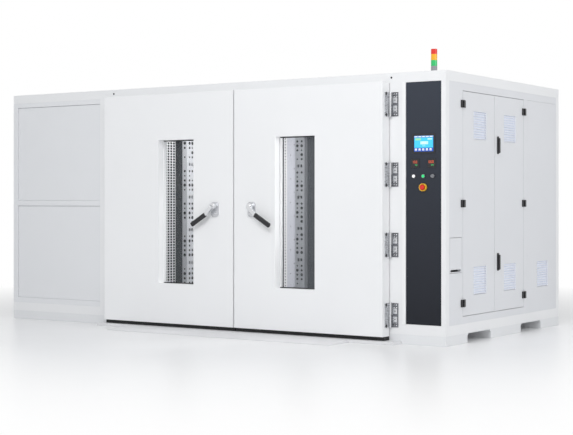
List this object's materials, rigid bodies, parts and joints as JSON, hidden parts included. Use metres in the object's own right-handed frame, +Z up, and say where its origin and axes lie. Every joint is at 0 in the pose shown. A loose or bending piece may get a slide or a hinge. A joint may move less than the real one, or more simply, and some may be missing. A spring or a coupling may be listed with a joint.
{
  "type": "environmental test chamber",
  "caption": "Walk-in environmental test chamber with insulated double doors, observation windows, lever handles, a front control column, side service doors and a signal tower.",
  "frame": {"origin": "on the floor under the cabinet, at its mid width and mid depth without doors, sill or ramp", "axes": "+X to the right seen from the doors, +Y from the doors to the rear, +Z up"},
  "size_m": [4.803, 2.73, 2.394],
  "materials": {
    "painted_white": "satin",
    "painted_grey": "satin",
    "painted_dark": "satin",
    "skid_paint": "satin",
    "stainless": "brushed",
    "galvanised": "satin",
    "bright_chrome": "polished",
    "insulation": "matt",
    "window_glass": "clear",
    "black_seal": "matt",
    "black_grip": "satin",
    "fascia": "gloss",
    "black_plastic": "satin",
    "grey_plastic": "satin",
    "white_plastic": "satin",
    "green_plastic": "gloss",
    "yellow_plastic": "gloss",
    "red_plastic": "gloss",
    "fin_aluminium": "satin",
    "motor_paint": "satin"
  },
  "bodies": {
    "cabinet": {"skid": "skid_paint", "frame_rails": "painted_white", "floor_slab": "insulation", "floor_plate": "stainless", "wall_panels": "painted_grey", "roof_panels": "painted_grey", "left_front_frame": "painted_grey", "left_front_panels": "painted_grey", "door_frame": "painted_grey", "chamber_liner": "stainless", "diffuser_wall": "galvanised", "diffuser_plates": "stainless", "rack_uprights": "stainless", "fan_bulkhead": "galvanised", "fan_motors": "motor_paint", "evaporator_coil": "fin_aluminium", "heater_bank": "stainless", "entry_ramp": "stainless", "hinge_frame_leaves": "bright_chrome", "control_column": "painted_grey", "control_fascia": "fascia", "panel_instruments": "black_plastic", "switch_bezels": "black_plastic", "stop_shroud": "yellow_plastic", "signal_base": "white_plastic", "signal_green": "green_plastic", "signal_yellow": "yellow_plastic", "signal_red": "red_plastic", "side_frame": "painted_white", "rear_side_panel": "painted_white", "service_hinges": "painted_dark", "compressors": "painted_dark", "condenser_unit": "fin_aluminium", "electrical_box": "galvanised"},
    "left_door": {"left_door_slab": "painted_white", "left_window_glass": "window_glass", "left_door_seals": "black_seal", "left_door_hardware": "bright_chrome"},
    "left_handle": {"left_lever": "bright_chrome", "left_grip": "black_grip"},
    "right_door": {"right_door_slab": "painted_white", "right_window_glass": "window_glass", "right_door_seals": "black_seal", "right_door_hardware": "bright_chrome"},
    "right_handle": {"right_lever": "bright_chrome", "right_grip": "black_grip"},
    "front_service_leaf": {"service_door_front": "painted_white", "front_leaf_hardware": "painted_dark"},
    "rear_service_leaf": {"service_door_rear": "painted_white", "rear_leaf_hardware": "painted_dark"},
    "upper_latch_lever_body": {"upper_latch_lever": "painted_dark"},
    "lower_latch_lever_body": {"lower_latch_lever": "painted_dark"},
    "cable_flap_body": {"cable_flap": "painted_white"},
    "white_button_body": {"white_button": "white_plastic"},
    "green_button_body": {"green_button": "green_plastic"},
    "key_selector_body": {"key_selector": "grey_plastic"},
    "stop_button_body": {"stop_button": "red_plastic"},
    "circulation_fan_front_body": {"circulation_fan_front": "galvanised"},
    "circulation_fan_rear_body": {"circulation_fan_rear": "galvanised"},
    "condenser_fan_body": {"condenser_fan": "galvanised"}
  },
  "joints": [
    {"name": "right_door_hinge", "type": "hinge", "parent": "cabinet", "child": "right_door", "pos_m": [1.894, -1.164, 1.0875], "axis": [0, 0, 1], "range_deg": [0, 95]},
    {"name": "left_door_hinge", "type": "hinge", "parent": "cabinet", "child": "left_door", "pos_m": [-1.108, -1.164, 1.0875], "axis": [0, 0, -1], "range_deg": [0, 95]},
    {"name": "right_handle_turn", "type": "hinge", "parent": "right_door", "child": "right_handle", "pos_m": [0.59, -1.27, 1.112], "axis": [0, -1, 0], "range_deg": [0, 90]},
    {"name": "left_handle_turn", "type": "hinge", "parent": "left_door", "child": "left_handle", "pos_m": [0.196, -1.27, 1.112], "axis": [0, 1, 0], "range_deg": [0, 90]},
    {"name": "front_leaf_hinge", "type": "hinge", "parent": "cabinet", "child": "front_service_leaf", "pos_m": [2.402, -0.85, 1.138], "axis": [0, 0, -1], "range_deg": [0, 95]},
    {"name": "rear_leaf_hinge", "type": "hinge", "parent": "cabinet", "child": "rear_service_leaf", "pos_m": [2.402, 0.355, 1.138], "axis": [0, 0, 1], "range_deg": [0, 110]},
    {"name": "upper_latch_turn", "type": "hinge", "parent": "rear_service_leaf", "child": "upper_latch_lever_body", "pos_m": [2.39, -0.1845, 1.684], "axis": [1, 0, 0], "range_deg": [0, 90]},
    {"name": "lower_latch_turn", "type": "hinge", "parent": "rear_service_leaf", "child": "lower_latch_lever_body", "pos_m": [2.39, -0.1845, 0.69], "axis": [1, 0, 0], "range_deg": [0, 90]},
    {"name": "cable_flap_hinge", "type": "hinge", "parent": "cabinet", "child": "cable_flap_body", "pos_m": [2.386, -0.975, 0.858], "axis": [0, -1, 0], "range_deg": [0, 100]},
    {"name": "key_turn", "type": "hinge", "parent": "cabinet", "child": "key_selector_body", "pos_m": [2.2765, -1.148, 1.358], "axis": [0, 1, 0], "range_deg": [0, 90]},
    {"name": "white_button_press", "type": "slide", "parent": "cabinet", "child": "white_button_body", "axis": [0, 1, 0], "range_m": [0, 0.0035], "stiffness_N_per_m": 300},
    {"name": "green_button_press", "type": "slide", "parent": "cabinet", "child": "green_button_body", "axis": [0, 1, 0], "range_m": [0, 0.0035], "stiffness_N_per_m": 300},
    {"name": "stop_button_press", "type": "slide", "parent": "cabinet", "child": "stop_button_body", "axis": [0, 1, 0], "range_m": [0, 0.005]},
    {"name": "front_fan_spin", "type": "hinge", "parent": "cabinet", "child": "circulation_fan_front_body", "pos_m": [-1.479, -0.47, 1.25], "axis": [1, 0, 0], "continuous": true},
    {"name": "rear_fan_spin", "type": "hinge", "parent": "cabinet", "child": "circulation_fan_rear_body", "pos_m": [-1.479, 0.47, 1.25], "axis": [1, 0, 0], "continuous": true},
    {"name": "condenser_fan_spin", "type": "hinge", "parent": "cabinet", "child": "condenser_fan_body", "pos_m": [2.282, 0.74, 0.93], "axis": [1, 0, 0], "continuous": true}
  ]
}
